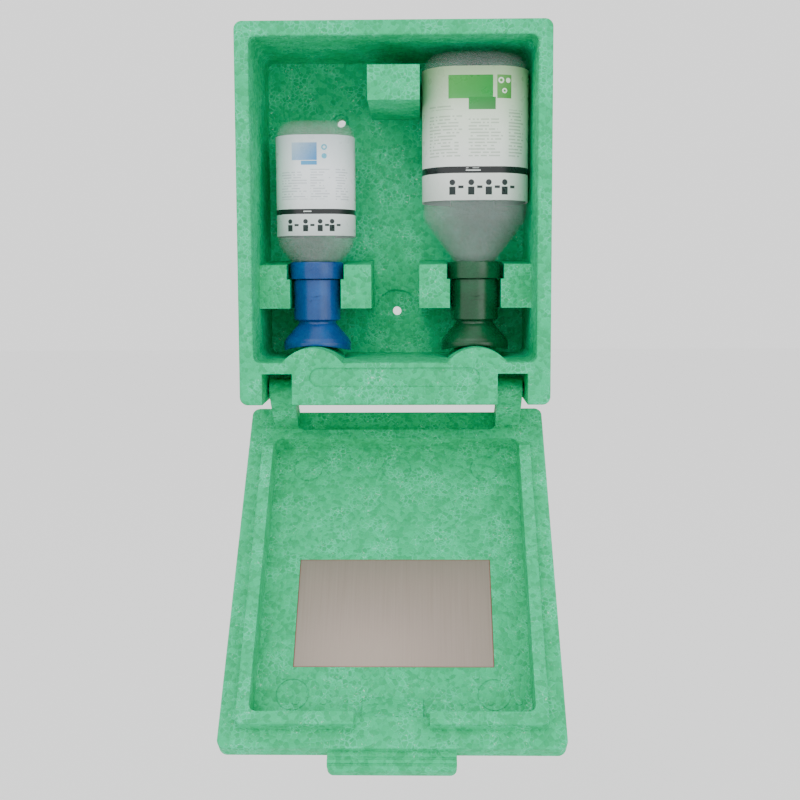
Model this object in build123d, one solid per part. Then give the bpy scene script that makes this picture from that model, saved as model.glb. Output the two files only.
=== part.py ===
from build123d import *
import os
from math import cos, hypot, radians, sin, tan

# Eyewash station. Y = 0 is the wall and the front faces -Y. The design measures heights from
# the box's lower front edge, and the export moves the origin to the lower screw hole at the wall.
# Lengths are in millimetres and angles in degrees.

# Wall box
BOX_WIDTH = 230.0
BOX_HEIGHT = 278.0
BOX_DEPTH = 102.0
BACK_WALL = 14.0
SIDE_RIM = 10.5
TOP_RIM = 11.0
RAIL_HEIGHT = 31.5
OUTER_CORNER = 6.0
INNER_CORNER = 5.0
OUTER_DRAFT = 1.5
INNER_DRAFT = 2.0
EDGE_ROUND = 1.5

# Screw holes in the back wall
HOLE_RADIUS = 3.5
LOWER_HOLE_RISE = 68.0
LOWER_RECESS_RADIUS = 17.5
UPPER_HOLE_RISE = 218.0
UPPER_HOLE_SPACING = 88.0
UPPER_RECESS_RADIUS = 6.5
RECESS_DEPTH = 2.0

# Stop block under the top wall
BLOCK_WIDTH = 38.0
BLOCK_RISE = 222.0
BLOCK_HEIGHT = 25.0
BLOCK_SETBACK = 4.0
BLOCK_DRAFT = 1.5

# Bottle bays: two cheeks with a step hold each collar
BAY_OFFSET = 61.0
BOTTLE_REACH = 52.0
CHEEK_REACH = 68.0
CHEEK_FOOT = 71.0
CHEEK_HEIGHT = 33.0
CHEEK_DRAFT = 5.0
CHEEK_INNER_END = 18.3
STEP_RISE = 93.1
COLLAR_CLEARANCE = 1.3
BARREL_CLEARANCE = 1.5
RIDGE_HEIGHT = 10.9
RIDGE_WIDTH = 44.4

# Front rail and hinge
SLOT_WIDTH = 22.3
SLOT_OFFSET = 87.15
SLOT_TOP = 23.2
GRIP_LENGTH = 126.0
GRIP_HEIGHT = 14.4
GRIP_RISE = 20.7
GRIP_DEPTH = 1.2
PIVOT_SETBACK = 35.5
PIVOT_RISE = 9.0
OPEN_ANGLE = 137.0
ARM_RADIUS = 8.0
ARM_SIDE_GAP = 1.75
STOP_GAP = 0.4
ARM_END_GAP = 0.6
PIN_RADIUS = 3.0
PIN_RUNNING_GAP = 0.05
PIN_HEAD_RADIUS = 5.0
PIN_HEAD_LENGTH = 2.0
PIN_HEAD_RECESS = 1.2
PIN_ANCHOR = 9.0

# Lid, described closed
LID_GAP = 0.3
FLANGE_THICKNESS = 14.0
PANEL_MARGIN = 12.0
PANEL_HEIGHT = 10.0
PANEL_DRAFT = 30.0
PLUG_CLEARANCE = 1.2
PLUG_DEPTH = 10.0
PLUG_WALL = 8.8
TRAY_DEPTH = 14.0
TRAY_START = 30.0
TRAY_CORNER = 5.0
RAIL_RECESS_LENGTH = 21.5
RAIL_RECESS_DEPTH = 6.0
RAIL_RECESS_CORNER = 6.0
SWING_GAP = 1.0
NOTCH_WIDTH = 50.0
RAMP_WIDTH = 41.0
RAMP_LENGTH = 20.0
RAMP_RISE = 10.5
TAB_WIDTH = 85.0
TAB_LENGTH = 13.0
TAB_THICKNESS = 8.0
TAB_GROOVE = 1.0
MARK_RADIUS = 11.5
MARK_WIDTH = 0.8
MARK_DEPTH = 0.5
MARK_OFFSET = 69.0
MARK_ROWS = (49.0, 235.5)
BACK_MARK_RADIUS = 20.0
BACK_MARK_RISE = 222.0
BACK_MARK_OFFSET = 66.0

# Mirror in the tray's floor
MIRROR_WIDTH = 139.5
MIRROR_LENGTH = 84.5
MIRROR_START = 130.5
MIRROR_THICKNESS = 2.0
MIRROR_GAP = 0.25
TAPE_THICKNESS = 0.8
TAPE_MARGIN = 8.0

# Bottles, standing on their necks
SMALL_BOTTLE = {"name": "small", "x": -BAY_OFFSET, "width": 59.6, "thick": 48.0, "corner": 21.0,
                "top": 212.8, "shoulder": 121.0, "throat": 19.4, "round": 11.0, "channel": 0.0,
                "label": (125.8, 200.6), "level": 203.0}
LARGE_BOTTLE = {"name": "large", "x": BAY_OFFSET, "width": 80.0, "thick": 62.0, "corner": 27.0,
                "top": 261.5, "shoulder": 138.0, "throat": 15.9, "round": 12.0, "channel": 30.0,
                "label": (151.0, 248.5), "level": 250.0}
BOTTLE_WALL = 1.2
CHANNEL_RADIUS = 34.0
CHANNEL_DEPTH = 3.0
FILL_GAP = 0.15
LABEL_THICKNESS = 0.3
LABEL_SEAM = 14.0
THROAT_FLAT = 0.05
NECK_RADIUS = 15.0
NECK_END = 96.2

# Collar, twist barrel and eyecup, the same on both bottles
COLLAR_FOOT = 93.4
COLLAR_TOP = 106.3
COLLAR_RADIUS = 20.5
COLLAR_EYE = 12.0
COLLAR_FLOOR = 1.6
SEAL_THICKNESS = 1.2
BARREL_TOP = 93.0
BARREL_RADIUS = 17.9
BARREL_FOOT = 61.5
WAIST_RADIUS = 14.4
WAIST_RISE = 59.0
CUP_RADIUS = 26.0
CUP_SHOULDER = 45.6
CUP_RIM = 38.0
CUP_WALL = 1.8
SADDLE_RADIUS = 80.0
SADDLE_GAP = 0.4
SPIGOT_GAP = 0.08
NOZZLE_GAP = 0.3
SPIGOT_TOP = 94.7
DUCT_RADIUS = 6.0
NOZZLE_HOLES = 6
NOZZLE_HOLE_RADIUS = 1.0
NOZZLE_RING = 3.6
NOZZLE_THICKNESS = 2.4
ARROW_LENGTH = 14.0
ARROW_HEIGHT = 3.0
ARROW_RELIEF = 0.5

COLLAR_GAP = 2 * (COLLAR_RADIUS + COLLAR_CLEARANCE)
BARREL_GAP = 2 * (BARREL_RADIUS + BARREL_CLEARANCE)
OPENING_WIDTH = BOX_WIDTH - 2 * SIDE_RIM
OPENING_HEIGHT = BOX_HEIGHT - TOP_RIM - RAIL_HEIGHT
OPENING_CENTRE = RAIL_HEIGHT + OPENING_HEIGHT / 2
FRONT = -BOX_DEPTH
BACK_FACE = -BACK_WALL
LID_FACE = FRONT - LID_GAP
PIVOT_Y = FRONT + PIVOT_SETBACK
RIDGE_TOP = RAIL_HEIGHT + RIDGE_HEIGHT
ARM_WIDTH = SLOT_WIDTH - 2 * ARM_SIDE_GAP
SIDES = (-1, 1)


def along_y(x, y, z):
    """Work plane at a point, facing the wall."""
    return Plane(origin=(x, y, z), x_dir=(1, 0, 0), z_dir=(0, 1, 0))


def along_x(x, y, z):
    """Work plane at a point, facing +X, with its own x along Y and y along Z."""
    return Plane(origin=(x, y, z), x_dir=(0, 1, 0), z_dir=(1, 0, 0))


def block(x, y, z):
    """Box between two values on each axis."""
    size = [high - low for low, high in (x, y, z)]
    middle = [(high + low) / 2 for low, high in (x, y, z)]
    return Pos(*middle) * Box(*size)


def drafted_block(width, height, depth, corner, draft, front_y, centre_z):
    """Rounded block that runs back from front_y and narrows by its draft."""
    shrink = 2 * depth * tan(radians(draft))
    front = along_y(0, front_y, centre_z) * RectangleRounded(width, height, corner)
    back = along_y(0, front_y + depth, centre_z) * RectangleRounded(width - shrink, height - shrink, corner)
    return loft([front, back], ruled=True)


def side_profile(points, x_low, x_high):
    """Prism with a (y, z) outline, between two values of x."""
    face = make_face(along_x(x_low, 0, 0) * Polyline(*points, close=True))
    return extrude(face, amount=x_high - x_low, dir=(1, 0, 0))


def cross_pin(x_low, x_high, radius):
    """Round bar on the hinge axis."""
    return along_x((x_low + x_high) / 2, PIVOT_Y, PIVOT_RISE) * Cylinder(radius, x_high - x_low)


def span(side, near, far):
    """Low and high x of something between two distances from the middle."""
    return tuple(sorted((side * near, side * far)))


def hinge_slot(side):
    """Slot for a lid arm, whose slanted rear wall stops the open lid."""
    half = SLOT_WIDTH / 2
    turn = radians(OPEN_ANGLE)
    reach = ARM_RADIUS + STOP_GAP
    wall_y = PIVOT_Y + reach * sin(turn)
    wall_z = PIVOT_RISE - reach * cos(turn)
    slope = tan(turn)
    rear = PIVOT_Y + ARM_RADIUS + ARM_END_GAP
    foot_y = wall_y - (wall_z + 1) / slope
    outline = [(FRONT - 1, -1), (FRONT - 1, SLOT_TOP), (rear, SLOT_TOP),
               (rear, wall_z + (rear - wall_y) * slope), (foot_y, -1)]
    return side_profile(outline, *span(side, SLOT_OFFSET - half, SLOT_OFFSET + half))


def cheek(side, inner):
    """One holder cheek, from the side wall or the middle to the collar's gap."""
    upper = COLLAR_GAP / 2
    lower = BARREL_GAP / 2
    if inner:
        far, near_upper, near_lower = CHEEK_INNER_END, BAY_OFFSET - upper, BAY_OFFSET - lower
    else:
        far, near_upper, near_lower = BOX_WIDTH / 2 - 1, BAY_OFFSET + upper, BAY_OFFSET + lower
    top = CHEEK_FOOT + CHEEK_HEIGHT
    rise = (CHEEK_REACH - BACK_WALL) * tan(radians(CHEEK_DRAFT))
    back = BACK_FACE + 1
    foot = [(back, CHEEK_FOOT), (-CHEEK_REACH, CHEEK_FOOT), (-CHEEK_REACH, STEP_RISE), (back, STEP_RISE)]
    head = [(back, STEP_RISE), (-CHEEK_REACH, STEP_RISE), (-CHEEK_REACH, top), (back, top + rise)]
    return (side_profile(foot, *span(side, near_lower, far)) +
            side_profile(head, *span(side, near_upper, far)))


def stop_block():
    """Block that stands out of the back wall between the bottles."""
    fall = (BOX_DEPTH - BACK_WALL - BLOCK_SETBACK) * tan(radians(BLOCK_DRAFT))
    nose = FRONT + BLOCK_SETBACK
    back = BACK_FACE + 1
    outline = [(nose, BLOCK_RISE), (nose, BLOCK_RISE + BLOCK_HEIGHT),
               (back, BLOCK_RISE + BLOCK_HEIGHT + fall), (back, BLOCK_RISE - fall)]
    return side_profile(outline, -BLOCK_WIDTH / 2, BLOCK_WIDTH / 2)


def saddle_ridge(side):
    """Low arched ridge under an eyecup, flush with the box's front."""
    half = RIDGE_WIDTH / 2
    radius = (half ** 2 + RIDGE_HEIGHT ** 2) / (2 * RIDGE_HEIGHT)
    length = BOX_DEPTH - BACK_WALL + 1
    bar = along_y(side * BAY_OFFSET, FRONT + length / 2, RIDGE_TOP - radius) * Cylinder(radius, length)
    return bar & block((-BOX_WIDTH, BOX_WIDTH), (FRONT, 0), (RAIL_HEIGHT - 2, RIDGE_TOP + 1))


def ring_mark(plane, radius):
    """Shallow round groove that the mould leaves."""
    return plane * (Cylinder(radius, 2 * MARK_DEPTH) - Cylinder(radius - MARK_WIDTH, 2 * MARK_DEPTH))


def pin_span(side):
    """Low and high x of a hinge pin's shank."""
    return span(side, SLOT_OFFSET - SLOT_WIDTH / 2 - PIN_ANCHOR, pin_head_start())


def pin_head_start():
    """Distance from the middle to the inner side of a pin's head, sunk in the drafted lug."""
    lug_side = BOX_WIDTH / 2 - PIVOT_SETBACK * tan(radians(OUTER_DRAFT))
    return lug_side - PIN_HEAD_RECESS - PIN_HEAD_LENGTH


def wall_box():
    """Foam wall box with everything that is moulded in it."""
    shell = drafted_block(BOX_WIDTH, BOX_HEIGHT, BOX_DEPTH, OUTER_CORNER, OUTER_DRAFT, FRONT, BOX_HEIGHT / 2)
    shell = fillet(shell.faces().sort_by(Axis.Y)[0].edges(), EDGE_ROUND)
    cavity = drafted_block(OPENING_WIDTH, OPENING_HEIGHT, BOX_DEPTH - BACK_WALL, INNER_CORNER,
                           INNER_DRAFT, FRONT, OPENING_CENTRE)
    body = shell - cavity
    opening_edge = body.faces().sort_by(Axis.Y)[0].inner_wires()[0].edges()
    body = fillet(opening_edge, EDGE_ROUND) + stop_block()
    for side in SIDES:
        body += cheek(side, True)
        body += cheek(side, False) & shell
        body += saddle_ridge(side)
    grip = along_y(0, FRONT, GRIP_RISE) * SlotOverall(GRIP_LENGTH, GRIP_HEIGHT)
    body -= extrude(grip, amount=GRIP_DEPTH, dir=(0, 1, 0))
    for side in SIDES:
        body -= hinge_slot(side)
        body -= cross_pin(*pin_span(side), PIN_RADIUS)
        body -= cross_pin(*span(side, pin_head_start(), BOX_WIDTH), PIN_HEAD_RADIUS)
        mark = along_y(side * BACK_MARK_OFFSET, BACK_FACE, BACK_MARK_RISE)
        body -= ring_mark(mark, BACK_MARK_RADIUS)
        upper = side * UPPER_HOLE_SPACING / 2
        body -= along_y(upper, -BACK_WALL / 2, UPPER_HOLE_RISE) * Cylinder(HOLE_RADIUS, BACK_WALL + 2)
        body -= along_y(upper, BACK_FACE, UPPER_HOLE_RISE) * Cylinder(UPPER_RECESS_RADIUS, 2 * RECESS_DEPTH)
    body -= along_y(0, -BACK_WALL / 2, LOWER_HOLE_RISE) * Cylinder(HOLE_RADIUS, BACK_WALL + 2)
    body -= along_y(0, BACK_FACE, LOWER_HOLE_RISE) * Cylinder(LOWER_RECESS_RADIUS, 2 * RECESS_DEPTH)
    return body


def hinge_pin(side):
    """Headed pin pressed into the lug and the rail, through the arm."""
    low, high = span(side, pin_head_start(), pin_head_start() + PIN_HEAD_LENGTH)
    return cross_pin(*pin_span(side), PIN_RADIUS) + cross_pin(low, high, PIN_HEAD_RADIUS)


def opened(piece):
    """Turn a lid piece from its closed place to its open one."""
    return piece.rotate(Axis((0, PIVOT_Y, PIVOT_RISE), (1, 0, 0)), OPEN_ANGLE)


def lid_plane(x, rise, depth):
    """Work plane in the closed lid, at a depth in front of its flange face."""
    return along_y(x, LID_FACE - depth, rise)


def lid_arm(side):
    """Arm that carries the lid on its hinge pin."""
    low, high = span(side, SLOT_OFFSET - ARM_WIDTH / 2, SLOT_OFFSET + ARM_WIDTH / 2)
    root = LID_FACE - RAIL_RECESS_DEPTH
    bar = block((low, high), (root, PIVOT_Y), (PIVOT_RISE - ARM_RADIUS, PIVOT_RISE + ARM_RADIUS))
    return bar + cross_pin(low, high, ARM_RADIUS)


def pull_tab():
    """Pull tab on the lid's free end, with two grooves."""
    middle = LID_FACE - FLANGE_THICKNESS + TAB_THICKNESS / 2
    tab = block((-TAB_WIDTH / 2, TAB_WIDTH / 2), (middle - TAB_THICKNESS / 2, middle + TAB_THICKNESS / 2),
                (BOX_HEIGHT - TAB_THICKNESS, BOX_HEIGHT + TAB_LENGTH))
    tab = fillet(tab.faces().sort_by(Axis.Z)[-1].edges().filter_by(Axis.Y), TAB_LENGTH / 3)
    for step in (1, 2):
        groove = along_x(0, middle + TAB_THICKNESS / 2, BOX_HEIGHT + step * TAB_LENGTH / 3)
        tab -= groove * Cylinder(TAB_GROOVE, TAB_WIDTH + 2)
    return tab


def lid():
    """Foam tray lid, closed."""
    centre = BOX_HEIGHT / 2
    flange = lid_plane(0, centre, FLANGE_THICKNESS) * RectangleRounded(BOX_WIDTH, BOX_HEIGHT, OUTER_CORNER)
    body = extrude(flange, amount=FLANGE_THICKNESS, dir=(0, 1, 0))
    outer_faces = body.faces().sort_by(Axis.Y)
    body = fillet(outer_faces[0].edges() + outer_faces[-1].edges(), EDGE_ROUND)
    body += drafted_panel(centre)
    plug = drafted_block(OPENING_WIDTH - 2 * PLUG_CLEARANCE, OPENING_HEIGHT - 2 * PLUG_CLEARANCE,
                         PLUG_DEPTH, INNER_CORNER, INNER_DRAFT, LID_FACE, OPENING_CENTRE)
    body += fillet(plug.faces().sort_by(Axis.Y)[-1].edges(), EDGE_ROUND)
    tray_end = BOX_HEIGHT - TOP_RIM - PLUG_CLEARANCE - PLUG_WALL
    tray_width = OPENING_WIDTH - 2 * (PLUG_CLEARANCE + PLUG_WALL)
    pocket = RectangleRounded(tray_width, tray_end - TRAY_START, TRAY_CORNER)
    pocket = lid_plane(0, (tray_end + TRAY_START) / 2, TRAY_DEPTH) * pocket
    body -= extrude(pocket, amount=TRAY_DEPTH + PLUG_DEPTH + 1, dir=(0, 1, 0))
    body = body - notch(tray_end) + ramp(tray_end)
    rail_swing = hypot(PIVOT_SETBACK, RAIL_HEIGHT - PIVOT_RISE) + SWING_GAP
    body -= cross_pin(-BOX_WIDTH, BOX_WIDTH, rail_swing) & block((-BOX_WIDTH, BOX_WIDTH), (LID_FACE, 0),
                                                                 (0, BOX_HEIGHT))
    recess_width = 2 * (SLOT_OFFSET - SLOT_WIDTH / 2) + 2 * ARM_SIDE_GAP
    recess = RectangleRounded(recess_width, 2 * RAIL_RECESS_LENGTH, RAIL_RECESS_CORNER)
    body -= extrude(lid_plane(0, 0, RAIL_RECESS_DEPTH) * recess, amount=RAIL_RECESS_DEPTH + 1, dir=(0, 1, 0))
    swing = hypot(PIVOT_SETBACK, PIVOT_RISE) + SWING_GAP
    body -= cross_pin(-BOX_WIDTH, BOX_WIDTH, swing)
    for side in SIDES:
        body += lid_arm(side)
        body -= cross_pin(*span(side, SLOT_OFFSET - SLOT_WIDTH, SLOT_OFFSET + SLOT_WIDTH),
                          PIN_RADIUS + PIN_RUNNING_GAP)
    body += pull_tab()
    body -= mirror_blank(MIRROR_GAP, MIRROR_THICKNESS + TAPE_THICKNESS, 0)
    for rise in MARK_ROWS:
        for offset in (-MARK_OFFSET, 0, MARK_OFFSET):
            if offset or rise < centre:
                body -= ring_mark(lid_plane(offset, rise, TRAY_DEPTH), MARK_RADIUS)
    return body


def drafted_panel(centre):
    """Raised panel on the lid's outer face."""
    width = BOX_WIDTH - 2 * PANEL_MARGIN
    height = BOX_HEIGHT - 2 * PANEL_MARGIN
    shrink = 2 * PANEL_HEIGHT * tan(radians(PANEL_DRAFT))
    root = lid_plane(0, centre, FLANGE_THICKNESS) * RectangleRounded(width, height, OUTER_CORNER)
    top = lid_plane(0, centre, FLANGE_THICKNESS + PANEL_HEIGHT)
    return loft([top * RectangleRounded(width - shrink, height - shrink, OUTER_CORNER), root], ruled=True)


def notch(tray_end):
    """Finger notch through the plug rim at the free end."""
    half = NOTCH_WIDTH / 2
    return block((-half, half), (LID_FACE, LID_FACE + PLUG_DEPTH + 1), (tray_end - PLUG_WALL, BOX_HEIGHT))


def ramp(tray_end):
    """Ramp that leads a finger from the tray's floor to the notch."""
    floor = LID_FACE - TRAY_DEPTH
    outline = [(floor - 1, tray_end - RAMP_LENGTH), (floor, tray_end - RAMP_LENGTH),
               (floor + RAMP_RISE, tray_end), (floor + RAMP_RISE, tray_end + 1), (floor - 1, tray_end + 1)]
    return side_profile(outline, -RAMP_WIDTH / 2, RAMP_WIDTH / 2)


def mirror_blank(margin, thickness, sink):
    """Plate of the mirror's outline, grown by a margin, sunk below the tray's floor."""
    half_width = MIRROR_WIDTH / 2 + margin
    top = LID_FACE - TRAY_DEPTH - sink
    return block((-half_width, half_width), (top - thickness, top),
                 (MIRROR_START - margin, MIRROR_START + MIRROR_LENGTH + margin))


def mirror():
    """Mirror plate, flush with the tray's floor, closed."""
    return mirror_blank(0, MIRROR_THICKNESS, 0)


def mirror_tape():
    """Adhesive pad between the mirror and the bottom of its recess."""
    return mirror_blank(-TAPE_MARGIN, TAPE_THICKNESS, MIRROR_THICKNESS)


def bottle_form(bottle, inset):
    """Outer form of a bottle on its neck, drawn in by an inset."""
    axis = Pos(bottle["x"], -BOTTLE_REACH, 0)
    width, thick = bottle["width"] - 2 * inset, bottle["thick"] - 2 * inset
    corner = bottle["corner"] - inset
    throat = bottle["throat"] - inset
    section = RectangleRounded(width, thick, corner)
    body = extrude(Pos(0, 0, bottle["shoulder"]) * section, amount=bottle["top"] - inset - bottle["shoulder"])
    body = fillet(body.faces().sort_by(Axis.Z)[-1].edges(), bottle["round"] - inset)
    if bottle["channel"]:
        centre = bottle["top"] - inset - CHANNEL_DEPTH + CHANNEL_RADIUS
        body -= Pos(0, 0, centre) * Rot(90, 0, 0) * Cylinder(CHANNEL_RADIUS, bottle["thick"] + 2)
    throat_rise = COLLAR_TOP + inset
    throat_section = RectangleRounded(2 * throat, 2 * throat, throat - THROAT_FLAT)
    throat_plane = Pos(0, 0, throat_rise)
    body += loft([throat_plane * throat_section, Pos(0, 0, bottle["shoulder"]) * section], ruled=True)
    neck = Cylinder(NECK_RADIUS - inset, throat_rise + 1 - NECK_END)
    body += Pos(0, 0, (NECK_END + throat_rise + 1) / 2) * neck
    return axis * body


def bottle_shell(bottle):
    """Blown bottle with an open neck that faces down."""
    mouth = Pos(bottle["x"], -BOTTLE_REACH, NECK_END) * Cylinder(NECK_RADIUS - BOTTLE_WALL, 2)
    return bottle_form(bottle, 0) - bottle_form(bottle, BOTTLE_WALL) - mouth


def saline(bottle):
    """Eyewash fluid up to its level."""
    fill = bottle_form(bottle, BOTTLE_WALL + FILL_GAP)
    air = Pos(bottle["x"], -BOTTLE_REACH, bottle["level"] + BOX_HEIGHT / 2)
    return fill - air * Box(BOX_WIDTH, BOX_WIDTH, BOX_HEIGHT)


def label(bottle):
    """Wrap label with a seam gap at the back."""
    low, high = bottle["label"]
    outer = RectangleRounded(bottle["width"] + 2 * LABEL_THICKNESS, bottle["thick"] + 2 * LABEL_THICKNESS,
                             bottle["corner"] + LABEL_THICKNESS)
    inner = RectangleRounded(bottle["width"], bottle["thick"], bottle["corner"])
    sleeve = extrude(Pos(0, 0, low) * (outer - inner), amount=high - low)
    seam = Pos(0, bottle["thick"] / 2, (low + high) / 2) * Box(LABEL_SEAM, 2 * LABEL_SEAM, high)
    return Pos(bottle["x"], -BOTTLE_REACH, 0) * (sleeve - seam)


def turned(bottle, points):
    """Solid of revolution about a bottle's axis from (radius, height) points."""
    face = make_face(Plane.XZ * Polyline(*points, close=True))
    return Pos(bottle["x"], -BOTTLE_REACH, 0) * revolve(face, axis=Axis.Z)


def collar(bottle):
    """Screw collar that clamps the seal on the neck."""
    floor = COLLAR_FOOT + COLLAR_FLOOR
    return turned(bottle, [(COLLAR_EYE, COLLAR_FOOT), (COLLAR_RADIUS, COLLAR_FOOT),
                           (COLLAR_RADIUS, COLLAR_TOP), (NECK_RADIUS, COLLAR_TOP),
                           (NECK_RADIUS, floor), (COLLAR_EYE, floor)])


def seal(bottle):
    """Tear seal between the neck and the collar's floor."""
    floor = COLLAR_FOOT + COLLAR_FLOOR
    return Pos(bottle["x"], -BOTTLE_REACH, floor + SEAL_THICKNESS / 2) * Cylinder(NECK_RADIUS, SEAL_THICKNESS)


def eyecup(bottle):
    """Twist barrel and flared eyecup in one piece, with a saddle rim."""
    spigot = COLLAR_EYE - SPIGOT_GAP
    bore = BARREL_RADIUS - CUP_WALL
    seat = WAIST_RISE + CUP_WALL
    outline = [(spigot - CUP_WALL, SPIGOT_TOP), (spigot, SPIGOT_TOP), (spigot, BARREL_TOP),
               (BARREL_RADIUS, BARREL_TOP), (BARREL_RADIUS, BARREL_FOOT + 1),
               (BARREL_RADIUS - 1, BARREL_FOOT),
               (WAIST_RADIUS + 0.6, BARREL_FOOT), (WAIST_RADIUS, BARREL_FOOT - 1), (WAIST_RADIUS, WAIST_RISE),
               (CUP_RADIUS, CUP_SHOULDER), (CUP_RADIUS, CUP_RIM), (CUP_RADIUS - CUP_WALL, CUP_RIM),
               (CUP_RADIUS - CUP_WALL, CUP_SHOULDER - 1), (WAIST_RADIUS - CUP_WALL, WAIST_RISE - CUP_WALL),
               (DUCT_RADIUS, WAIST_RISE - CUP_WALL), (DUCT_RADIUS, seat), (WAIST_RADIUS - CUP_WALL, seat),
               (bore, seat + CUP_WALL + 2), (bore, BARREL_TOP - CUP_WALL),
               (spigot - CUP_WALL, BARREL_TOP - CUP_WALL)]
    cup = turned(bottle, outline)
    crown = RIDGE_TOP + SADDLE_GAP - SADDLE_RADIUS
    cup -= along_y(bottle["x"], -BOTTLE_REACH, crown) * Cylinder(SADDLE_RADIUS, 2 * BOX_DEPTH)
    return cup + twist_arrow(bottle)


def twist_arrow(bottle):
    """Raised arrow on the barrel that shows which way it twists."""
    face_y = -BOTTLE_REACH - BARREL_RADIUS - ARROW_RELIEF
    middle = (BARREL_TOP + BARREL_FOOT) / 2
    half = ARROW_LENGTH / 2
    points = [(-half, 0), (-half + ARROW_HEIGHT, ARROW_HEIGHT), (-half + ARROW_HEIGHT, ARROW_HEIGHT / 3),
              (half, ARROW_HEIGHT / 3), (half, -ARROW_HEIGHT / 3), (-half + ARROW_HEIGHT, -ARROW_HEIGHT / 3),
              (-half + ARROW_HEIGHT, -ARROW_HEIGHT)]
    face = make_face(Plane(origin=(bottle["x"], face_y, middle), x_dir=(1, 0, 0), z_dir=(0, -1, 0)) *
                     Polyline(*points, close=True))
    prism = extrude(face, amount=BARREL_RADIUS / 2, dir=(0, 1, 0))
    axis = Pos(bottle["x"], -BOTTLE_REACH, middle)
    return prism & axis * (Cylinder(BARREL_RADIUS + ARROW_RELIEF, 4 * ARROW_HEIGHT) -
                           Cylinder(BARREL_RADIUS - CUP_WALL / 2, 4 * ARROW_HEIGHT))


def nozzle(bottle):
    """Perforated disc that spreads the flow over the eye."""
    seat = WAIST_RISE + CUP_WALL
    disc = Cylinder(WAIST_RADIUS - CUP_WALL - NOZZLE_GAP, NOZZLE_THICKNESS)
    disc -= Cylinder(NOZZLE_HOLE_RADIUS, NOZZLE_THICKNESS + 2)
    for place in PolarLocations(NOZZLE_RING, NOZZLE_HOLES):
        disc -= place * Cylinder(NOZZLE_HOLE_RADIUS, NOZZLE_THICKNESS + 2)
    return Pos(bottle["x"], -BOTTLE_REACH, seat + NOZZLE_THICKNESS / 2) * disc


def station():
    """Every piece by name."""
    pieces = {"wall_box": wall_box(), "lid": opened(lid()), "mirror": opened(mirror()),
              "mirror_tape": opened(mirror_tape())}
    for side, name in ((-1, "left"), (1, "right")):
        pieces["hinge_pin_" + name] = hinge_pin(side)
    makers = {"bottle": bottle_shell, "saline": saline, "label": label, "collar": collar,
              "seal": seal, "eyecup": eyecup, "nozzle": nozzle}
    for bottle in (SMALL_BOTTLE, LARGE_BOTTLE):
        for part_name, maker in makers.items():
            pieces[bottle["name"] + "_" + part_name] = maker(bottle)
    return pieces


os.makedirs("parts", exist_ok=True)
for node, shape in station().items():
    export_step(Pos(0, 0, -LOWER_HOLE_RISE) * shape, "parts/" + node + ".step")
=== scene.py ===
from math import atan, cos, pi, radians, sin, sqrt

import bmesh
import bpy
from mathutils import Matrix, Vector


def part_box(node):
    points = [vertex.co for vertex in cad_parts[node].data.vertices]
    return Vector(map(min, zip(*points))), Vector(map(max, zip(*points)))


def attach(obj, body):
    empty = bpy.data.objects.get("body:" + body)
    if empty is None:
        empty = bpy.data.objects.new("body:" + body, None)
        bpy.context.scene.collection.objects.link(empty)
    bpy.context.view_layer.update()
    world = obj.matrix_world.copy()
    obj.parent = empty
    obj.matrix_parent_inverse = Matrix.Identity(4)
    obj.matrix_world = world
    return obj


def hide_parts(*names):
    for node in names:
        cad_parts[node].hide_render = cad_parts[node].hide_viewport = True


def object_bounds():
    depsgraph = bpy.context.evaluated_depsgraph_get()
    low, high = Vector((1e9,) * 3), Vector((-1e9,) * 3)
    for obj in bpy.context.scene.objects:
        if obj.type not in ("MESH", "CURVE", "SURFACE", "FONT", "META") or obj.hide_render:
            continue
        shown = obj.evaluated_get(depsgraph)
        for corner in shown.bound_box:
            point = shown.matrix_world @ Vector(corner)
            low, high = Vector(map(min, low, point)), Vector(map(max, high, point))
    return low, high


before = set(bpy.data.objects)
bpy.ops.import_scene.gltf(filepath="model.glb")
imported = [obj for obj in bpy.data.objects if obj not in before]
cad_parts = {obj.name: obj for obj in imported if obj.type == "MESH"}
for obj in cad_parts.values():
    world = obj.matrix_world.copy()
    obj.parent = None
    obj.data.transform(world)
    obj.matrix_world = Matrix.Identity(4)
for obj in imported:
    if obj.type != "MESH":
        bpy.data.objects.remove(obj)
CAD_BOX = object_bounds()

# Sizes in metres. The bays, collars and cups are placed from the frame's own boxes.
MM = 0.001
LOWER_HOLE_RISE = 0.068
OPEN_ANGLE = radians(137)
PIVOT = Vector((0, -0.0665, -0.059))
FLANGE_FACE = -0.1023
TRAY_DEPTH = 0.0140
BACK_FACE = -0.0140

RIDGE_TOP = -0.0257
SADDLE_GAP = 0.0004
SADDLE_RADIUS = 0.080

NECK_RADIUS = 0.015
COLLAR_OVERLAP = 0.0015
COLLAR_BORE = 0.0151
COLLAR_EYE = 0.0122
COLLAR_FLOOR = 0.0017
BOTTLE_WALL = 0.0011
FLUID_INSET = 0.0013
SHOULDER_SHARES = (0.12, 0.3, 0.5, 0.7, 0.86, 0.95)
CHANNEL_HALF_WIDTH = 0.0145
CHANNEL_LEVELS = 9

SPIGOT_RADIUS = 0.0119
SPIGOT_BORE = 0.0102
BARREL_RADIUS = 0.0179
BARREL_BORE = 0.0160
WAIST_RADIUS = 0.0144
DUCT_RADIUS = 0.0060
CUP_RADIUS = 0.0260
CUP_BORE = 0.0243
CUP_WALL = 0.0018
SOFTENING = 0.0006
SPIN_STEPS = 96
ARROW_RISE = 0.0785
ARROW_RELIEF = 0.00045
ARROW_SUNK = 0.0003

LABEL_LIFT = 0.00035
LABEL_THICKNESS = 0.00025
LABEL_SEGMENTS = 144

MIRROR_HALF_WIDTH = 0.0694
MIRROR_ENDS = (0.1307, 0.2148)
FILM_MARGIN = 0.0005

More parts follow.
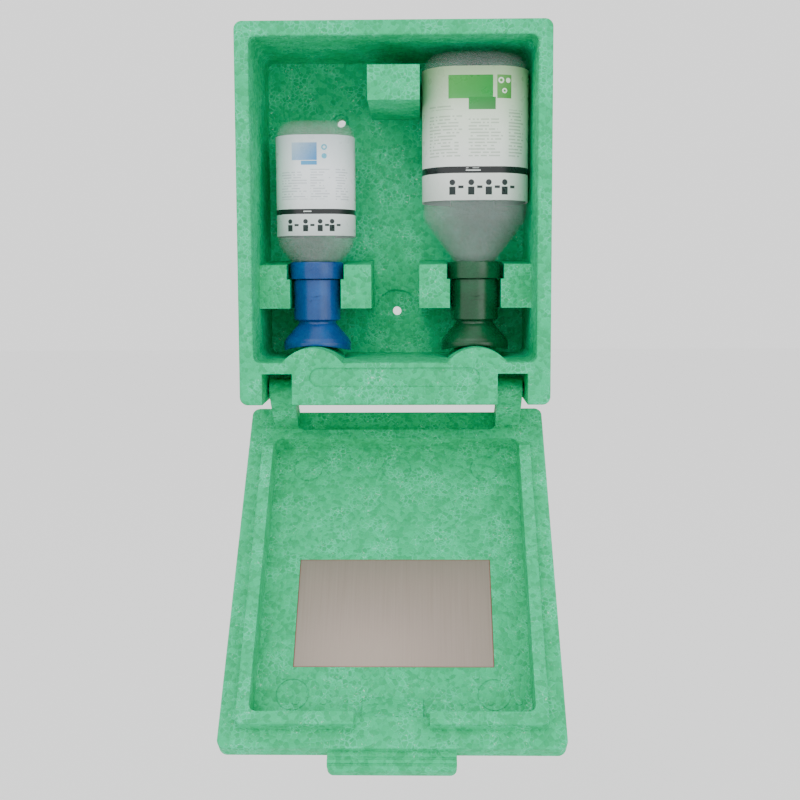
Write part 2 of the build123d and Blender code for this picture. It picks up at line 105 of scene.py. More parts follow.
VENT_HEIGHT = 0.0007
LID_VENT_RADIUS = 0.0026
BOX_VENT_RADIUS = 0.0024


# ---------------------------------------------------------------- node helpers

def new_material(name):
    """Empty node material with its shader and output joined."""
    material = bpy.data.materials.new(name)
    material.use_nodes = True
    tree = material.node_tree
    tree.nodes.clear()
    output = tree.nodes.new("ShaderNodeOutputMaterial")
    shader = tree.nodes.new("ShaderNodeBsdfPrincipled")
    tree.links.new(shader.outputs["BSDF"], output.inputs["Surface"])
    return material, tree, shader


def node(tree, kind, values=(), **settings):
    """One node, with its settings and some of its inputs filled in or linked."""
    made = tree.nodes.new(kind)
    for key, value in settings.items():
        setattr(made, key, value)
    for key, value in dict(values).items():
        plug(tree, made.inputs[key], value)
    return made


def plug(tree, socket, value):
    """Link an output to a socket, or set the socket's own value."""
    if isinstance(value, bpy.types.NodeSocket):
        tree.links.new(value, socket)
    else:
        socket.default_value = value


def maths(tree, operation, first, second=0.0, clamp=False):
    """Result of one maths node."""
    made = node(tree, "ShaderNodeMath", {0: first, 1: second}, operation=operation, use_clamp=clamp)
    return made.outputs[0]


def ramp(tree, factor, stops):
    """Eased ramp through (position, grey) stops."""
    made = node(tree, "ShaderNodeValToRGB", {"Fac": factor})
    made.color_ramp.interpolation = "EASE"
    points = made.color_ramp.elements
    while len(points) < len(stops):
        points.new(0.5)
    for point, (place, colour) in zip(points, stops):
        point.position = place
        point.color = (*colour, 1)
    return made.outputs["Color"]


def grey(level):
    """Neutral colour of a level."""
    return (level, level, level)


def mixed(tree, factor, first, second):
    """Mix of two colours, each a tuple or a linked output."""
    made = tree.nodes.new("ShaderNodeMix")
    made.data_type = "RGBA"
    plug(tree, made.inputs[0], factor)
    plug(tree, made.inputs[6], (*first, 1) if isinstance(first, tuple) else first)
    plug(tree, made.inputs[7], (*second, 1) if isinstance(second, tuple) else second)
    return made.outputs[2]


def object_space(tree):
    """Object coordinates."""
    return node(tree, "ShaderNodeTexCoord").outputs["Object"]


def noise(tree, space, scale, detail=3.0, roughness=0.5):
    """Value of a noise texture."""
    made = node(tree, "ShaderNodeTexNoise", {"Vector": space, "Scale": scale, "Detail": detail,
                                             "Roughness": roughness})
    return made.outputs["Fac"]


def bump(tree, height, strength, distance):
    """Normal from a height."""
    made = node(tree, "ShaderNodeBump", {"Height": height, "Strength": strength, "Distance": distance})
    return made.outputs["Normal"]


# ---------------------------------------------------------------- materials

def bead_foam(name, base=(0.0, 0.52, 0.21), pale=(0.06, 0.80, 0.47), deep=(0.0, 0.40, 0.145)):
    """Moulded bead foam: flattened beads with pale seams and scattered white specks."""
    material, tree, shader = new_material(name)
    space = object_space(tree)
    wobble = node(tree, "ShaderNodeTexNoise", {"Vector": space, "Scale": 260.0, "Detail": 2.0})
    offset = node(tree, "ShaderNodeVectorMath", {0: wobble.outputs["Color"], 1: (0.5, 0.5, 0.5)},
                  operation="SUBTRACT")
    shift = node(tree, "ShaderNodeVectorMath", {0: offset.outputs[0], "Scale": 0.0022}, operation="SCALE")
    warped = node(tree, "ShaderNodeVectorMath", {0: space, 1: shift.outputs[0]}, operation="ADD").outputs[0]
    beads = node(tree, "ShaderNodeTexVoronoi", {"Vector": warped, "Scale": 300.0}, feature="F1")
    seams = node(tree, "ShaderNodeTexVoronoi", {"Vector": warped, "Scale": 300.0}, feature="DISTANCE_TO_EDGE")
    seam = ramp(tree, seams.outputs["Distance"], [(0.0, grey(1.0)), (0.07, grey(0.45)), (0.2, grey(0.0))])
    tone = node(tree, "ShaderNodeSeparateColor", {"Color": beads.outputs["Color"]})
    colour = mixed(tree, ramp(tree, tone.outputs[0], [(0.1, grey(0.0)), (0.9, grey(1.0))]), deep, base)
    patches = ramp(tree, noise(tree, space, 55.0, 4.0, 0.6), [(0.42, grey(0.15)), (0.66, grey(1.0))])
    seam_tint = maths(tree, "MULTIPLY", seam, patches)
    colour = mixed(tree, maths(tree, "MULTIPLY", seam_tint, 0.62), colour, pale)
    specks = ramp(tree, noise(tree, space, 520.0, 3.0, 0.7), [(0.6, grey(0.0)), (0.7, grey(1.0))])
    speck_mask = maths(tree, "MULTIPLY", specks, patches)
    colour = mixed(tree, maths(tree, "MULTIPLY", speck_mask, 0.55), colour, (0.55, 0.88, 0.72))
    plug(tree, shader.inputs["Base Color"], colour)
    rough = ramp(tree, tone.outputs[1], [(0.0, grey(0.48)), (1.0, grey(0.68))])
    plug(tree, shader.inputs["Roughness"], rough)
    dome = ramp(tree, beads.outputs["Distance"], [(0.0, grey(1.0)), (0.8, grey(0.0))])
    height = maths(tree, "SUBTRACT", dome, maths(tree, "MULTIPLY", seam, 0.8))
    plug(tree, shader.inputs["Normal"], bump(tree, height, 0.45, 0.0005))
    shader.inputs["Specular IOR Level"].default_value = 0.12
    return material


def moulded_plastic(name, colour, light, roughness=0.28):
    """Injection-moulded plastic with a slight cloud of tone, fine grain and handling marks."""
    material, tree, shader = new_material(name)
    space = object_space(tree)
    cloud = noise(tree, space, 60.0, 3.0)
    plug(tree, shader.inputs["Base Color"], mixed(tree, ramp(tree, cloud, [(0.35, grey(0)), (0.75, grey(1))]),
                                                  colour, light))
    scuffs = noise(tree, space, 420.0, 5.0, 0.65)
    plug(tree, shader.inputs["Roughness"], ramp(tree, scuffs, [(0.35, grey(roughness - 0.06)),
                                                              (0.75, grey(roughness + 0.12))]))
    grain = noise(tree, space, 2200.0, 2.0)
    plug(tree, shader.inputs["Normal"], bump(tree, grain, 0.06, 0.0001))
    return material


def clouded_clear(name, colour, opacity, roughness, ior):
    """See-through blown plastic or fluid, with faint clouding."""
    material, tree, shader = new_material(name)
    space = object_space(tree)
    cloud = noise(tree, space, 45.0, 3.0)
    plug(tree, shader.inputs["Base Color"],
         mixed(tree, ramp(tree, cloud, [(0.3, grey(0)), (0.8, grey(1))]), colour, tuple(c * 0.93 for c in colour)))
    haze = noise(tree, space, 160.0, 4.0, 0.6)
    plug(tree, shader.inputs["Roughness"], ramp(tree, haze, [(0.3, grey(roughness * 0.85)),
                                                            (0.8, grey(min(1, roughness * 1.25)))]))
    ripple = noise(tree, space, 70.0, 2.0)
    plug(tree, shader.inputs["Normal"], bump(tree, ripple, 0.08, 0.0005))
    shader.inputs["Alpha"].default_value = opacity
    shader.inputs["IOR"].default_value = ior
    return material


def mirror_metal(name):
    """Polished plastic mirror with a faint drawn grain."""
    material, tree, shader = new_material(name)
    space = object_space(tree)
    stretched = node(tree, "ShaderNodeMapping", {"Vector": space, "Scale": (900.0, 18.0, 18.0)}).outputs[0]
    streak = noise(tree, stretched, 1.0, 3.0)
    plug(tree, shader.inputs["Base Color"], mixed(tree, streak, (0.255, 0.205, 0.172), (0.335, 0.28, 0.24)))
    plug(tree, shader.inputs["Roughness"], ramp(tree, streak, [(0.3, grey(0.42)), (0.8, grey(0.52))]))
    plug(tree, shader.inputs["Normal"], bump(tree, streak, 0.05, 0.0001))
    shader.inputs["Metallic"].default_value = 0.55
    return material


# ---------------------------------------------------------------- label print

def between(tree, value, low, high):
    """1 where a value lies between two limits."""
    above = maths(tree, "GREATER_THAN", value, low)
    return maths(tree, "MULTIPLY", above, maths(tree, "LESS_THAN", value, high))


def patch(tree, across, up, area):
    """1 inside a rectangle (left, right, low, high) of the label, in millimetres."""
    left, right, low, high = area
    return maths(tree, "MULTIPLY", between(tree, across, left, right), between(tree, up, low, high))


def disc_mask(tree, across, up, x, y, radius, hollow=0.0):
    """1 inside a disc, or inside a ring where hollow is its inner radius."""
    dx = maths(tree, "SUBTRACT", across, x)
    dy = maths(tree, "SUBTRACT", up, y)
    squared = maths(tree, "ADD", maths(tree, "MULTIPLY", dx, dx), maths(tree, "MULTIPLY", dy, dy))
    return between(tree, squared, hollow ** 2 - 0.001, radius ** 2)


def blurb(tree, across, up, area, pitch):
    """Rows of short plain bars that stand for small print."""
    left, right, low, high = area
    row = maths(tree, "FLOOR", maths(tree, "DIVIDE", up, pitch))
    height = maths(tree, "FRACT", maths(tree, "DIVIDE", up, pitch))
    bar = between(tree, height, 0.3, 0.72)
    column = maths(tree, "FLOOR", maths(tree, "DIVIDE", across, 1.5))
    cell = node(tree, "ShaderNodeCombineXYZ", {0: column, 1: row, 2: left})
    word = node(tree, "ShaderNodeTexWhiteNoise", {"Vector": cell.outputs[0]}).outputs["Value"]
    row_seed = node(tree, "ShaderNodeCombineXYZ", {0: row, 1: left, 2: 7.0})
    length = node(tree, "ShaderNodeTexWhiteNoise", {"Vector": row_seed.outputs[0]}).outputs["Value"]
    end = maths(tree, "SUBTRACT", right, maths(tree, "MULTIPLY", length, (right - left) * 0.35))
    mask = maths(tree, "MULTIPLY", patch(tree, across, up, area), bar)
    mask = maths(tree, "MULTIPLY", mask, maths(tree, "GREATER_THAN", word, 0.2))
    return maths(tree, "MULTIPLY", mask, maths(tree, "LESS_THAN", across, end))


def label_print(name, layout):
    """Printed film: tinted ground, plain colour blocks, small-print bars, a dark band and simple icons."""
    material, tree, shader = new_material(name)
    place = node(tree, "ShaderNodeSeparateXYZ", {0: node(tree, "ShaderNodeUVMap").outputs[0]})
    across, up = place.outputs[0], place.outputs[1]
    fade = maths(tree, "DIVIDE", maths(tree, "SUBTRACT", up, layout["band"][1]), layout["height"] * 0.7, True)
    colour = mixed(tree, fade, layout["ground"], layout["tint"])
    for area in layout["print"]:
        colour = mixed(tree, maths(tree, "MULTIPLY", blurb(tree, across, up, area, layout["pitch"]), 0.55),
                       colour, layout["ink"])
    for area, first, second in layout["blocks"]:
        slant = maths(tree, "ADD", maths(tree, "SUBTRACT", across, area[0]), maths(tree, "SUBTRACT", area[3], up))
        blend = maths(tree, "DIVIDE", slant, area[1] - area[0] + area[3] - area[2], True)
        colour = mixed(tree, patch(tree, across, up, area), colour, mixed(tree, blend, first, second))
    for x, y, radius, hollow in layout["badges"]:
        colour = mixed(tree, disc_mask(tree, across, up, x, y, radius, hollow), colour, layout["badge_ink"])
    low, high = layout["band"]
    colour = mixed(tree, between(tree, up, low, high), colour, (0.012, 0.014, 0.016))
    dots = blurb(tree, across, up, (layout["band_print"][0], layout["band_print"][1], low + 1, high - 1), 1.9)
    colour = mixed(tree, dots, colour, (0.75, 0.78, 0.78))
    for x in layout["icons"]:
        head = disc_mask(tree, across, up, x, low * 0.66, low * 0.11)
        trunk = patch(tree, across, up, (x - low * 0.12, x + low * 0.12, low * 0.2, low * 0.5))
        stream = patch(tree, across, up, (x + low * 0.22, x + low * 0.42, low * 0.44, low * 0.54))
        icon = maths(tree, "MAXIMUM", maths(tree, "MAXIMUM", head, trunk), stream)
        colour = mixed(tree, icon, colour, (0.03, 0.035, 0.04))
    plug(tree, shader.inputs["Base Color"], colour)
    wrinkle = noise(tree, object_space(tree), 120.0, 3.0)
    plug(tree, shader.inputs["Roughness"], ramp(tree, wrinkle, [(0.3, grey(0.26)), (0.8, grey(0.4))]))
    plug(tree, shader.inputs["Normal"], bump(tree, wrinkle, 0.08, 0.0003))
    return material


SMALL_PRINT = {
    "height": 74.8, "pitch": 2.0, "ground": (0.80, 0.83, 0.85), "tint": (0.74, 0.79, 0.84),
    "ink": (0.30, 0.34, 0.38), "badge_ink": (0.12, 0.45, 0.62),
    "print": [(-26, -4, 27, 48), (-2, 13, 27, 50), (17, 29, 26, 50)],
    "blocks": [((-16, 3, 56, 69), (0.52, 0.64, 0.78), (0.01, 0.22, 0.55)),
               ((-9, 3, 52.5, 55.5), (0.05, 0.33, 0.62), (0.02, 0.25, 0.55))],
    "badges": [(8.5, 65.5, 2.2, 1.1), (8.5, 59.0, 2.0, 0.0)],
    "band": (16.1, 19.9), "band_print": (-8, 2), "icons": (-18, -6, 5, 14)}
LARGE_PRINT = {
    "height": 97.5, "pitch": 2.4, "ground": (0.83, 0.86, 0.83), "tint": (0.50, 0.66, 0.42),
    "ink": (0.20, 0.30, 0.20), "badge_ink": (0.85, 0.93, 0.80),
    "print": [(-38, -10, 31, 62), (-38, -10, 66, 70), (-6, 20, 31, 60), (24, 39, 31, 66)],
    "blocks": [((-21, 12, 74, 91), (0.10, 0.42, 0.10), (0.01, 0.30, 0.05)),
               ((-6, 14, 66, 75), (0.01, 0.28, 0.04), (0.01, 0.20, 0.03)),
               ((15, 26, 74, 91), (0.16, 0.40, 0.12), (0.05, 0.30, 0.05))],
    "badges": [(18, 87, 2.2, 1.1), (23.4, 87, 1.8, 0.0), (20.6, 79.5, 1.9, 0.9)],
    "band": (19.8, 24.7), "band_print": (-8, 6), "icons": (-18, -4, 9, 21)}


# ---------------------------------------------------------------- mesh helpers

def box_up(height):
    """Frame z of a height above the box's lower edge."""
    return height - LOWER_HOLE_RISE


def finished(name, bm, material, body, slot, replaces=(), sharp=35):
    """Mesh object from a bmesh: merged, turned outwards, shaded, and riding on its body."""
    bmesh.ops.remove_doubles(bm, verts=bm.verts, dist=1e-6)
    bmesh.ops.recalc_face_normals(bm, faces=bm.faces)
    mesh = bpy.data.meshes.new(name)
    bm.to_mesh(mesh)
    bm.free()
    mesh.polygons.foreach_set("use_smooth", [True] * len(mesh.polygons))
    mesh.set_sharp_from_angle(angle=radians(sharp))
    mesh.materials.append(material)
    piece = bpy.data.objects.new(name, mesh)
    bpy.context.scene.collection.objects.link(piece)
    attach(piece, body)
    if replaces:
        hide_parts(*replaces)
    return piece


def thicken(piece, thickness):
    """Give an open skin its wall, inwards."""
    solidify = piece.modifiers.new("wall", "SOLIDIFY")
    solidify.thickness = thickness
    solidify.offset = -1
    solidify.use_even_offset = True


def turned_piece(points, centre, soft_points):
    """Closed solid of revolution from (radius, height) points, with the listed corners softened."""
    bm = bmesh.new()
    verts = [bm.verts.new((radius, 0, height)) for radius, height in points]
    for first, second in zip(verts, verts[1:] + verts[:1]):
        bm.edges.new((first, second))
    bmesh.ops.bevel(bm, geom=[verts[i] for i in soft_points], offset=SOFTENING, segments=3, profile=0.5,
                    affect="VERTICES", material=-1)
    bmesh.ops.spin(bm, geom=bm.verts[:] + bm.edges[:], cent=(0, 0, 0), axis=(0, 0, 1), angle=2 * pi,
                   steps=SPIN_STEPS, use_merge=True)
    bmesh.ops.translate(bm, verts=bm.verts, vec=(centre.x, centre.y, 0))
    return bm


def plan_point(angle, half_width, half_depth, corner):
    """Point of a rounded rectangle at an angle round its corners."""
    flat_x, flat_y = half_width - corner, half_depth - corner
    c, s = cos(angle), sin(angle)
    side_x = max(-1, min(1, c * 6))
    side_y = max(-1, min(1, s * 6))
    return side_x * flat_x + corner * c, side_y * flat_y + corner * s


def stacked_rings(levels, centre, segments=96, channel=0.0, close=True):
    """Skin through rounded rectangles: each level is (height, half width, half depth, corner).

    A channel dips the last levels along the middle of the width."""
    bm = bmesh.new()
    bmesh.ops.create_circle(bm, segments=segments, radius=1.0, cap_ends=False)
    ring = sorted(bm.verts, key=lambda v: v.index)
    edges = bm.edges[:]
    for step, level in enumerate(levels):
        if step:
            made = bmesh.ops.extrude_edge_only(bm, edges=edges)["geom"]
            ring = [v for v in made if isinstance(v, bmesh.types.BMVert)]
            edges = [e for e in made if isinstance(e, bmesh.types.BMEdge) and
                     e.verts[0] in ring and e.verts[1] in ring]
        height, half_width, half_depth, corner = level
        for number, vert in enumerate(ring):
            angle = 2 * pi * number / segments
            x, y = plan_point(angle, half_width, half_depth, corner)
            in_channel = step > len(levels) - CHANNEL_LEVELS
            dip = channel * max(0.0, 1 - (x / CHANNEL_HALF_WIDTH) ** 2) if in_channel else 0.0
            vert.co = (centre.x + x, centre.y + y, height - dip)
    if close:
        bmesh.ops.edgeloop_fill(bm, edges=edges)
    return bm


def arc_levels(top, half_width, half_depth, corner, radius, steps=6):
    """Levels that round a form over at its top."""
    for step in range(1, steps + 1):
        turn = pi / 2 * step / steps
        inset = radius * (1 - cos(turn))
        yield top - radius * (1 - sin(turn)), half_width - inset, half_depth - inset, corner - inset


def cap_levels(top, half_width, half_depth, corner, steps=7):
    """Levels that close a flat top towards its middle."""
    for step in range(1, steps + 1):
        share = 1 - step / (steps + 0.6)
        yield top, half_width * share, half_depth * share, corner * share


# ---------------------------------------------------------------- bottles

class Bottle:
    """Where one bottle's parts are, read from the frame."""

    def __init__(self, name, slot, throat, corner, shoulder, rounding, level, channel, bow):
        self.name, self.slot = name, slot
        low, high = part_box(name + "_bottle")
        self.centre = (low + high) / 2
        self.half_width, self.half_depth = (high.x - low.x) / 2, (high.y - low.y) / 2
        self.neck_end, self.top = low.z, high.z
        collar_low, collar_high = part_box(name + "_collar")
        self.collar = (collar_low.z, collar_high.z)
        cup_low, cup_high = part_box(name + "_eyecup")
        self.cup = (cup_low.z, cup_high.z)
        label_low, label_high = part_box(name + "_label")
        self.label = (label_low.z, label_high.z)
        self.throat, self.corner, self.shoulder = throat, corner, shoulder
        self.rounding, self.level, self.channel, self.bow = rounding, level, channel, bow

    def levels(self, inset, top):
        """Levels of the body from its neck up, drawn in by an inset."""
        throat, neck = self.throat - inset, NECK_RADIUS - inset
        half_width, half_depth, corner = self.half_width - inset, self.half_depth - inset, self.corner - inset
        start = self.collar[1]
        yield self.neck_end, neck, neck, neck
        yield start - COLLAR_OVERLAP, neck, neck, neck
        throat_sizes = (throat, throat, throat * 0.999)
        yield start + inset, *throat_sizes
        rise = self.shoulder - start
        for share in SHOULDER_SHARES:
            blend = share + self.bow * sin(pi * share)
            sizes = (a + (b - a) * blend for a, b in zip(throat_sizes, (half_width, half_depth, corner)))
            yield start + inset + rise * share, *sizes
        yield self.shoulder + 0.004, half_width, half_depth, corner
        yield (self.shoulder + top) / 2, half_width, half_depth, corner
        yield top - self.rounding, half_width, half_depth, corner

    def skin(self):
        """Levels of the whole outer skin, closed at its top."""
        sizes = self.half_width, self.half_depth, self.corner
        inner = (size - self.rounding for size in sizes)
        return [*self.levels(0.0, self.top), *arc_levels(self.top, *sizes, self.rounding),
                *cap_levels(self.top, *inner)]


def bottle_shell(bottle, material):
    """Blown bottle with a rounded base uppermost and an open neck."""
    bm = stacked_rings(bottle.skin(), bottle.centre, channel=bottle.channel)
    piece = finished(bottle.name + "_bottle_shell", bm, material, bottle.name + "_bottle", "bottle_plastic",
                     [bottle.name + "_bottle"], sharp=60)
    thicken(piece, BOTTLE_WALL)


def fluid(bottle, material):
    """Fluid inside the bottle, with its level at the top."""
    levels = [level for level in bottle.levels(FLUID_INSET, bottle.level) if level[0] < bottle.level - 4 * MM]
    sizes = bottle.half_width - FLUID_INSET, bottle.half_depth - FLUID_INSET, bottle.corner - FLUID_INSET
    levels += [(bottle.level - MM, *sizes), (bottle.level, *(size - MM for size in sizes))]
    bm = stacked_rings(levels, bottle.centre)
    bmesh.ops.holes_fill(bm, edges=[e for e in bm.edges if e.is_boundary], sides=0)
    finished(bottle.name + "_fluid", bm, material, bottle.name + "_bottle", "saline",
             [bottle.name + "_saline"], sharp=60)


def label_sleeve(bottle, material, slot):
    """Wrap label, open along its back, unrolled into a UV map in millimetres."""
    sizes = bottle.half_width + LABEL_LIFT, bottle.half_depth + LABEL_LIFT, bottle.corner + LABEL_LIFT
    low, high = bottle.label
    bm = stacked_rings([(low, *sizes), (high, *sizes)], bottle.centre, segments=LABEL_SEGMENTS,
                       close=False)
    seam = [f for f in bm.faces if f.calc_center_median().y > bottle.centre.y + sizes[1] - MM and
            abs(f.calc_center_median().x - bottle.centre.x) < sizes[0] - sizes[2] + 4 * MM]
    bmesh.ops.delete(bm, geom=seam, context="FACES")
    layer = bm.loops.layers.uv.new("print")
    flat_x, flat_y, corner = sizes[0] - sizes[2], sizes[1] - sizes[2], sizes[2]
    for face in bm.faces:
        middle = face.calc_center_median()
        for loop in face.loops:
            offset = loop.vert.co - bottle.centre
            round_label = unrolled(offset.x, offset.y, flat_x, flat_y, corner, middle.x - bottle.centre.x)
            loop[layer].uv = (round_label / MM, (loop.vert.co.z - low) / MM)
    piece = finished(bottle.name + "_wrap_label", bm, material, bottle.name + "_bottle", slot,
                     [bottle.name + "_label"], sharp=60)
    thicken(piece, LABEL_THICKNESS)


def unrolled(x, y, flat_x, flat_y, corner, side):
    """Distance round a rounded rectangle from the middle of its front, positive to the right."""
    sign = 1 if side >= 0 else -1
    x = abs(x)
    quarter = corner * pi / 2
    if x <= flat_x + 1e-5:
        return sign * (x if y < 0 else 2 * flat_x + 2 * quarter + 2 * flat_y - x)
    if y < -flat_y:
        return sign * (flat_x + corner * atan((x - flat_x) / max(1e-6, -y - flat_y)))
    if y <= flat_y:
        return sign * (flat_x + quarter + y + flat_y)
    return sign * (flat_x + quarter + 2 * flat_y + corner * atan((y - flat_y) / max(1e-6, x - flat_x)))


def screw_collar(bottle, material):
    """Screw collar, round and smooth, with an eye in its floor."""
    low, high = bottle.collar
    collar_low, collar_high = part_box(bottle.name + "_collar")
    outer = (collar_high.x - collar_low.x) / 2
    floor = low + COLLAR_FLOOR
    points = [(COLLAR_EYE, low), (outer, low), (outer, high), (COLLAR_BORE, high), (COLLAR_BORE, floor),
              (COLLAR_EYE, floor)]
    bm = turned_piece(points, bottle.centre, (1, 2))
    finished(bottle.name + "_screw_collar", bm, material, bottle.name + "_bottle", bottle.slot,
             [bottle.name + "_collar"])


def saddle(x):
    """Height of the saddle rim at a distance from the cup's middle."""
    return RIDGE_TOP + SADDLE_GAP - SADDLE_RADIUS + sqrt(SADDLE_RADIUS ** 2 - x * x)


def twist_cup(bottle, material):
    """Twist barrel with its waist and the flared eyecup, rimmed to sit on the ridge."""
    top = bottle.cup[1]
    barrel_top, foot, waist = top - 0.0017, top - 0.0332, top - 0.0357
    shoulder, rim = top - 0.0491, saddle(CUP_RADIUS)
    spigot = [(SPIGOT_BORE, top), (SPIGOT_RADIUS, top), (SPIGOT_RADIUS, barrel_top)]
    barrel = [(BARREL_RADIUS, barrel_top), (BARREL_RADIUS, foot + 0.001), (0.0166, foot), (0.0150, foot)]
    neck = [(WAIST_RADIUS, foot - 0.001), (0.0146, waist)]
    cup_outside = [(0.0245, shoulder + 0.0022), (CUP_RADIUS, shoulder - 0.0012), (CUP_RADIUS, rim)]
    cup_inside = [(CUP_BORE, rim), (0.0241, shoulder - 0.0022), (0.0228, shoulder), (0.0126, waist - CUP_WALL)]
    duct = [(DUCT_RADIUS, waist - CUP_WALL), (DUCT_RADIUS, waist + CUP_WALL), (0.0126, waist + CUP_WALL)]
    barrel_inside = [(BARREL_BORE, waist + 0.0055), (BARREL_BORE, barrel_top - CUP_WALL),
                     (SPIGOT_BORE, barrel_top - CUP_WALL)]
    points = spigot + barrel + neck + cup_outside + cup_inside + duct + barrel_inside
    bm = turned_piece(points, bottle.centre, (3, 5, 6, 7, 8, 9, 10, 11, 12, 14))
    for vert in bm.verts:
        if vert.co.z < shoulder:
            share = min(1.0, (shoulder - vert.co.z) / (shoulder - rim - 0.0012))
            vert.co.z += share * (saddle(vert.co.x - bottle.centre.x) - rim)
    finished(bottle.name + "_twist_cup", bm, material, bottle.name + "_cup", bottle.slot,
             [bottle.name + "_eyecup"])


def raised_mark(bottle, name, outline, height, material):
    """Shallow relief on the barrel, wrapped round it, from an outline in millimetres."""
    bm = bmesh.new()
    verts = [bm.verts.new((x * MM, 0, z * MM)) for x, z in outline]
    bm.faces.new(verts)
    bmesh.ops.triangulate(bm, faces=bm.faces)
    bmesh.ops.subdivide_edges(bm, edges=bm.edges, cuts=3, use_grid_fill=True)
    made = bmesh.ops.extrude_face_region(bm, geom=bm.faces[:])["geom"]
    raised = {v for v in made if isinstance(v, bmesh.types.BMVert)}
    for vert in bm.verts:
        radius = BARREL_RADIUS + (ARROW_RELIEF if vert in raised else -ARROW_SUNK)
        angle = vert.co.x / BARREL_RADIUS
        vert.co = (bottle.centre.x + radius * sin(angle), bottle.centre.y - radius * cos(angle),
                   vert.co.z + height)
    finished(bottle.name + "_" + name, bm, material, bottle.name + "_cup", bottle.slot)


# ---------------------------------------------------------------- lid details

def lid_place(x, along, depth):
    """Point of the shut lid: across, up from its hinge end, and in front of its flange."""
    return Vector((x, FLANGE_FACE - depth, box_up(along)))


def open_lid(bm):
    """Turn shut-lid geometry to the open rest pose."""
    turn = (Matrix.Translation(PIVOT) @ Matrix.Rotation(OPEN_ANGLE, 4, "X") @ Matrix.Translation(-PIVOT))
    bmesh.ops.transform(bm, matrix=turn, verts=bm.verts)


def rounded_plate(bm, low, high, rounding):
    """Cuboid between two corners with softened edges, added to a bmesh."""
    made = bmesh.ops.create_cube(bm, size=1.0)["verts"]
    bmesh.ops.scale(bm, verts=made, vec=high - low)
    bmesh.ops.translate(bm, verts=made, vec=(high + low) / 2)
    edges = list({e for v in made for e in v.link_edges})
    bmesh.ops.bevel(bm, geom=edges, offset=rounding, segments=2, profile=0.5, affect="EDGES", material=-1)


def mirror_plate(material, film):
    """Mirror plate with eased edges over a thin dark backing film."""
    bm = bmesh.new()
    start, end = MIRROR_ENDS
    rounded_plate(bm, lid_place(-MIRROR_HALF_WIDTH, start, 0.0157),
                  lid_place(MIRROR_HALF_WIDTH, end, 0.0138), 0.0003)
    open_lid(bm)
    finished("mirror_plate", bm, material, "lid", "mirror_plate", ["mirror"])
    bm = bmesh.new()
    half_width = MIRROR_HALF_WIDTH + FILM_MARGIN
    rounded_plate(bm, lid_place(-half_width, start - FILM_MARGIN, 0.0166),
                  lid_place(half_width, end + FILM_MARGIN, 0.01395), 0.0002)
    open_lid(bm)
    finished("mirror_backing_film", bm, film, "lid", "tape", ["mirror_tape"])


def vent_mark(bm, centre, radius):
    """Shallow disc that a steam vent leaves."""
    made = bmesh.ops.create_cone(bm, cap_ends=True, segments=20, radius1=radius, radius2=radius * 0.92,
                                 depth=VENT_HEIGHT)["verts"]
    bmesh.ops.rotate(bm, verts=made, matrix=Matrix.Rotation(-pi / 2, 3, "X"), cent=(0, 0, 0))
    bmesh.ops.translate(bm, verts=made, vec=centre)


def lid_vents(material):
    """Rows of vent marks on the tray's floor, round the mirror."""
    bm = bmesh.new()
    for row in range(12):
        along = 0.040 + row * 0.0182
        for column in range(-4, 5):
            x = column * 0.0190 + (0.0095 if row % 2 else 0.0)
            if abs(x) > 0.088 or (abs(x) < 0.078 and 0.123 < along < 0.222):
                continue
            if along > 0.228 and abs(x) < 0.027:
                continue
            vent_mark(bm, lid_place(x, along, TRAY_DEPTH - 0.0001), LID_VENT_RADIUS)
    open_lid(bm)
    finished("lid_vent_marks", bm, material, "lid", "green_foam", sharp=50)


def box_vents(material):
    """Vent marks on the box's back wall, clear of its holes and blocks."""
    bm = bmesh.new()
    for row in range(10):
        for column in range(-4, 5):
            x, z = column * 0.0205, 0.045 + row * 0.0215
            blocked = [abs(x) < 0.023 and (z < 0.092 or z > 0.21), 0.064 < z < 0.114 and abs(x) > 0.014,
                       sqrt((abs(x) - 0.044) ** 2 + (z - 0.218) ** 2) < 0.011]
            if not any(blocked):
                vent_mark(bm, Vector((x, BACK_FACE - 0.0001, box_up(z))), BOX_VENT_RADIUS)
    finished("box_vent_marks", bm, material, "box", "green_foam", sharp=50)


# ---------------------------------------------------------------- studio

def studio():
    """Pale floor, soft lights, and the camera a little right of the middle, looking slightly down."""
    low, _ = CAD_BOX
    bm = bmesh.new()
    bmesh.ops.create_grid(bm, x_segments=1, y_segments=1, size=12.0)
    bmesh.ops.translate(bm, verts=bm.verts, vec=(0, 0, low.z - 0.35))
    mesh = bpy.data.meshes.new("studio_floor")
    bm.to_mesh(mesh)
    bm.free()
    floor = bpy.data.objects.new("studio_floor", mesh)
    bpy.context.scene.collection.objects.link(floor)
    material, tree, shader = new_material("pale_floor")
    shader.inputs["Base Color"].default_value = (0.95, 0.95, 0.95, 1)
    shader.inputs["Roughness"].default_value = 0.9
    mesh.materials.append(material)
    world = bpy.data.worlds.new("studio_air")
    world.use_nodes = True
    world.node_tree.nodes["Background"].inputs[0].default_value = (1, 1, 1, 1)
    world.node_tree.nodes["Background"].inputs[1].default_value = 1.45
    bpy.context.scene.world = world
    soft_light("key", (-0.35, -1.5, 1.25), 1.1, 11)
    soft_light("fill", (0.9, -1.3, 0.3), 1.0, 4)
    camera_data = bpy.data.cameras.new("camera")
    camera_data.sensor_width, camera_data.lens = 36.0, 51.6
    camera = bpy.data.objects.new("camera", camera_data)
    bpy.context.scene.collection.objects.link(camera)
    camera.matrix_world = (Matrix.Translation((0.0207, -0.9449, 0.0165)) @ Matrix.Rotation(radians(1.14), 4, "Z") @
                           Matrix.Rotation(radians(90 - 5.46), 4, "X") @ Matrix.Rotation(radians(-0.24), 4, "Z"))
    bpy.context.scene.camera = camera


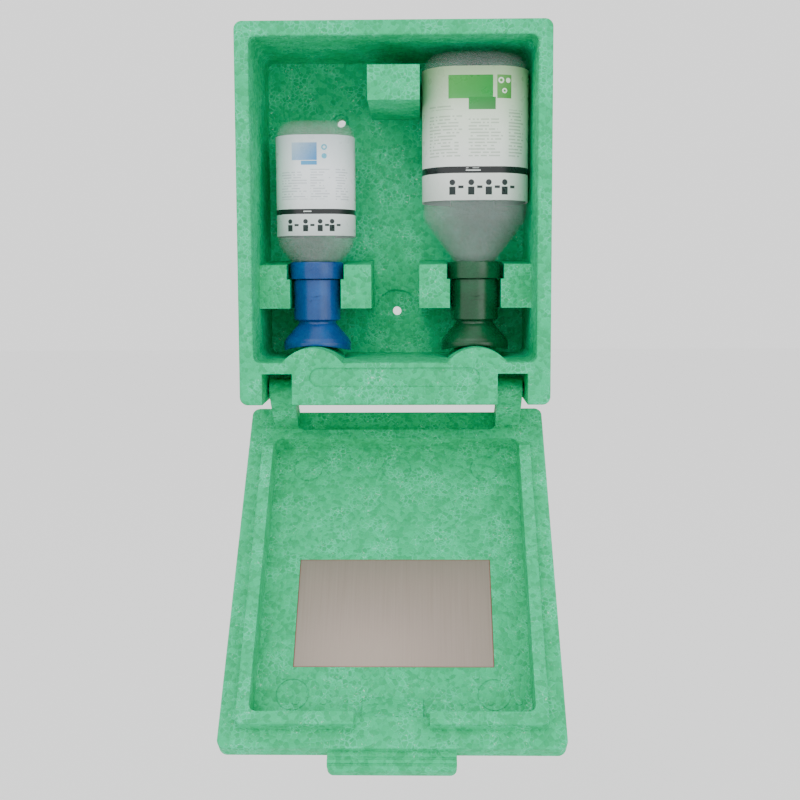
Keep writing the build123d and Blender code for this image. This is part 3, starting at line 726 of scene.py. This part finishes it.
def soft_light(name, place, size, power):
    """Large square lamp that faces the object."""
    data = bpy.data.lights.new(name, "AREA")
    data.shape, data.size, data.energy = "SQUARE", size, power
    lamp = bpy.data.objects.new(name, data)
    lamp.location = place
    aim = Vector((0, -0.08, -0.02)) - Vector(place)
    lamp.rotation_euler = aim.to_track_quat("-Z", "Y").to_euler()
    bpy.context.scene.collection.objects.link(lamp)


# ---------------------------------------------------------------- making

def dress(name, material):
    """Give a CAD node its material."""
    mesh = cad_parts[name].data
    mesh.materials.clear()
    mesh.materials.append(material)


studio()
foam = bead_foam("green_bead_foam")
blue = moulded_plastic("blue_cap_plastic", (0.0, 0.045, 0.20), (0.001, 0.075, 0.29))
deep_green = moulded_plastic("dark_green_cap_plastic", (0.0, 0.050, 0.014), (0.0, 0.080, 0.026))
white = moulded_plastic("white_insert_plastic", (0.78, 0.79, 0.78), (0.86, 0.87, 0.86))
film = moulded_plastic("mirror_film", (0.20, 0.05, 0.04), (0.28, 0.08, 0.06), 0.4)
clear = clouded_clear("blown_clear_plastic", (0.84, 0.96, 0.92), 0.065, 0.12, 1.45)
water = clouded_clear("clear_fluid", (0.50, 0.84, 0.74), 0.05, 0.05, 1.33)

for cad_node in ("wall_box", "lid"):
    dress(cad_node, foam)
for cad_node in ("hinge_pin_left", "hinge_pin_right"):
    dress(cad_node, deep_green)
for cad_node in ("small_seal", "large_seal", "small_nozzle", "large_nozzle"):
    dress(cad_node, white)

small = Bottle("small", "blue_plastic", throat=0.0194, corner=0.021, shoulder=box_up(0.121), rounding=0.011,
               level=box_up(0.203), channel=0.0, bow=0.10)
large = Bottle("large", "dark_green_plastic", throat=0.0159, corner=0.027, shoulder=box_up(0.138), rounding=0.012,
               level=box_up(0.250), channel=0.003, bow=0.0)
ARROW = [(-6.5, 0), (-3, 2.6), (-3, 0.9), (4.6, 0.9), (4.6, 2.4), (6.2, 2.4), (6.2, -0.9), (-3, -0.9), (-3, -2.6)]
for bottle, plastic, print_plan in ((small, blue, SMALL_PRINT), (large, deep_green, LARGE_PRINT)):
    bottle_shell(bottle, clear)
    fluid(bottle, water)
    label_slot = bottle.name + "_label_print"
    label_sleeve(bottle, label_print(label_slot, print_plan), label_slot)
    screw_collar(bottle, plastic)
    twist_cup(bottle, plastic)
    raised_mark(bottle, "twist_arrow", ARROW, box_up(ARROW_RISE), plastic)
mirror_plate(mirror_metal("mirror_sheet"), film)
lid_vents(foam)
box_vents(foam)
